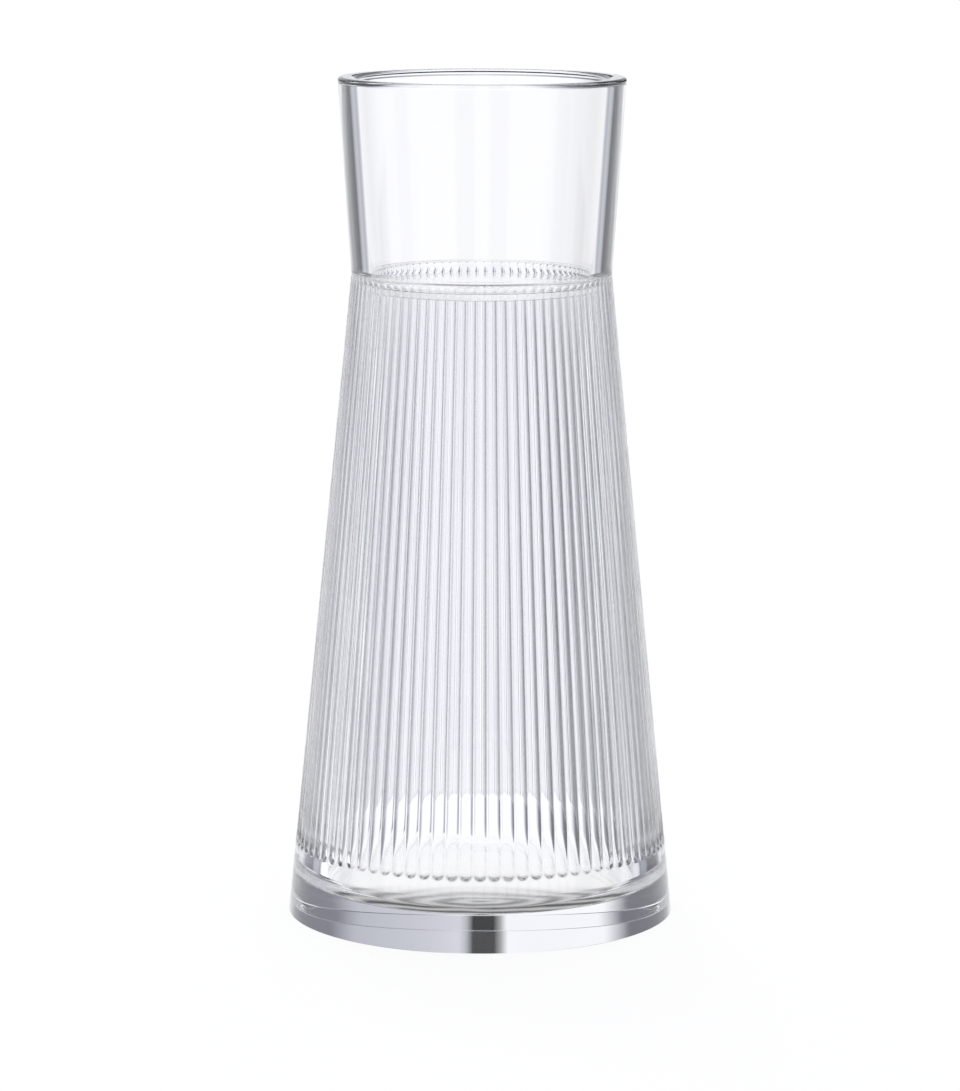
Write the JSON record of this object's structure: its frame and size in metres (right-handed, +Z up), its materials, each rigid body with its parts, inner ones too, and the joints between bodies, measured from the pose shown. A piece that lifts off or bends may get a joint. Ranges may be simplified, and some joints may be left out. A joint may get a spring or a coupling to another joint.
{
  "type": "carafe with tumbler",
  "caption": "Tapering fluted glass carafe on a thick clear foot, with a clear flared tumbler standing upright in its mouth as its cover and drinking glass.",
  "frame": {"origin": "centre of the carafe's flat resting face, on the axis of both glasses", "axes": "+Z up along the common axis of carafe and tumbler; -Y faces the viewer in the picture"},
  "size_m": [0.1196, 0.1196, 0.26],
  "materials": {
    "carafe_glass": "polished clear crystal, ground flutes",
    "tumbler_glass": "polished clear crystal"
  },
  "bodies": {
    "carafe_body": {"carafe": "carafe_glass"},
    "tumbler_body": {"tumbler": "tumbler_glass"}
  },
  "joints": [
    {"name": "tumbler_lift", "type": "slide", "parent": "carafe_body", "child": "tumbler_body", "axis": [0, 0, 1], "range_m": [0, 0.1]}
  ]
}
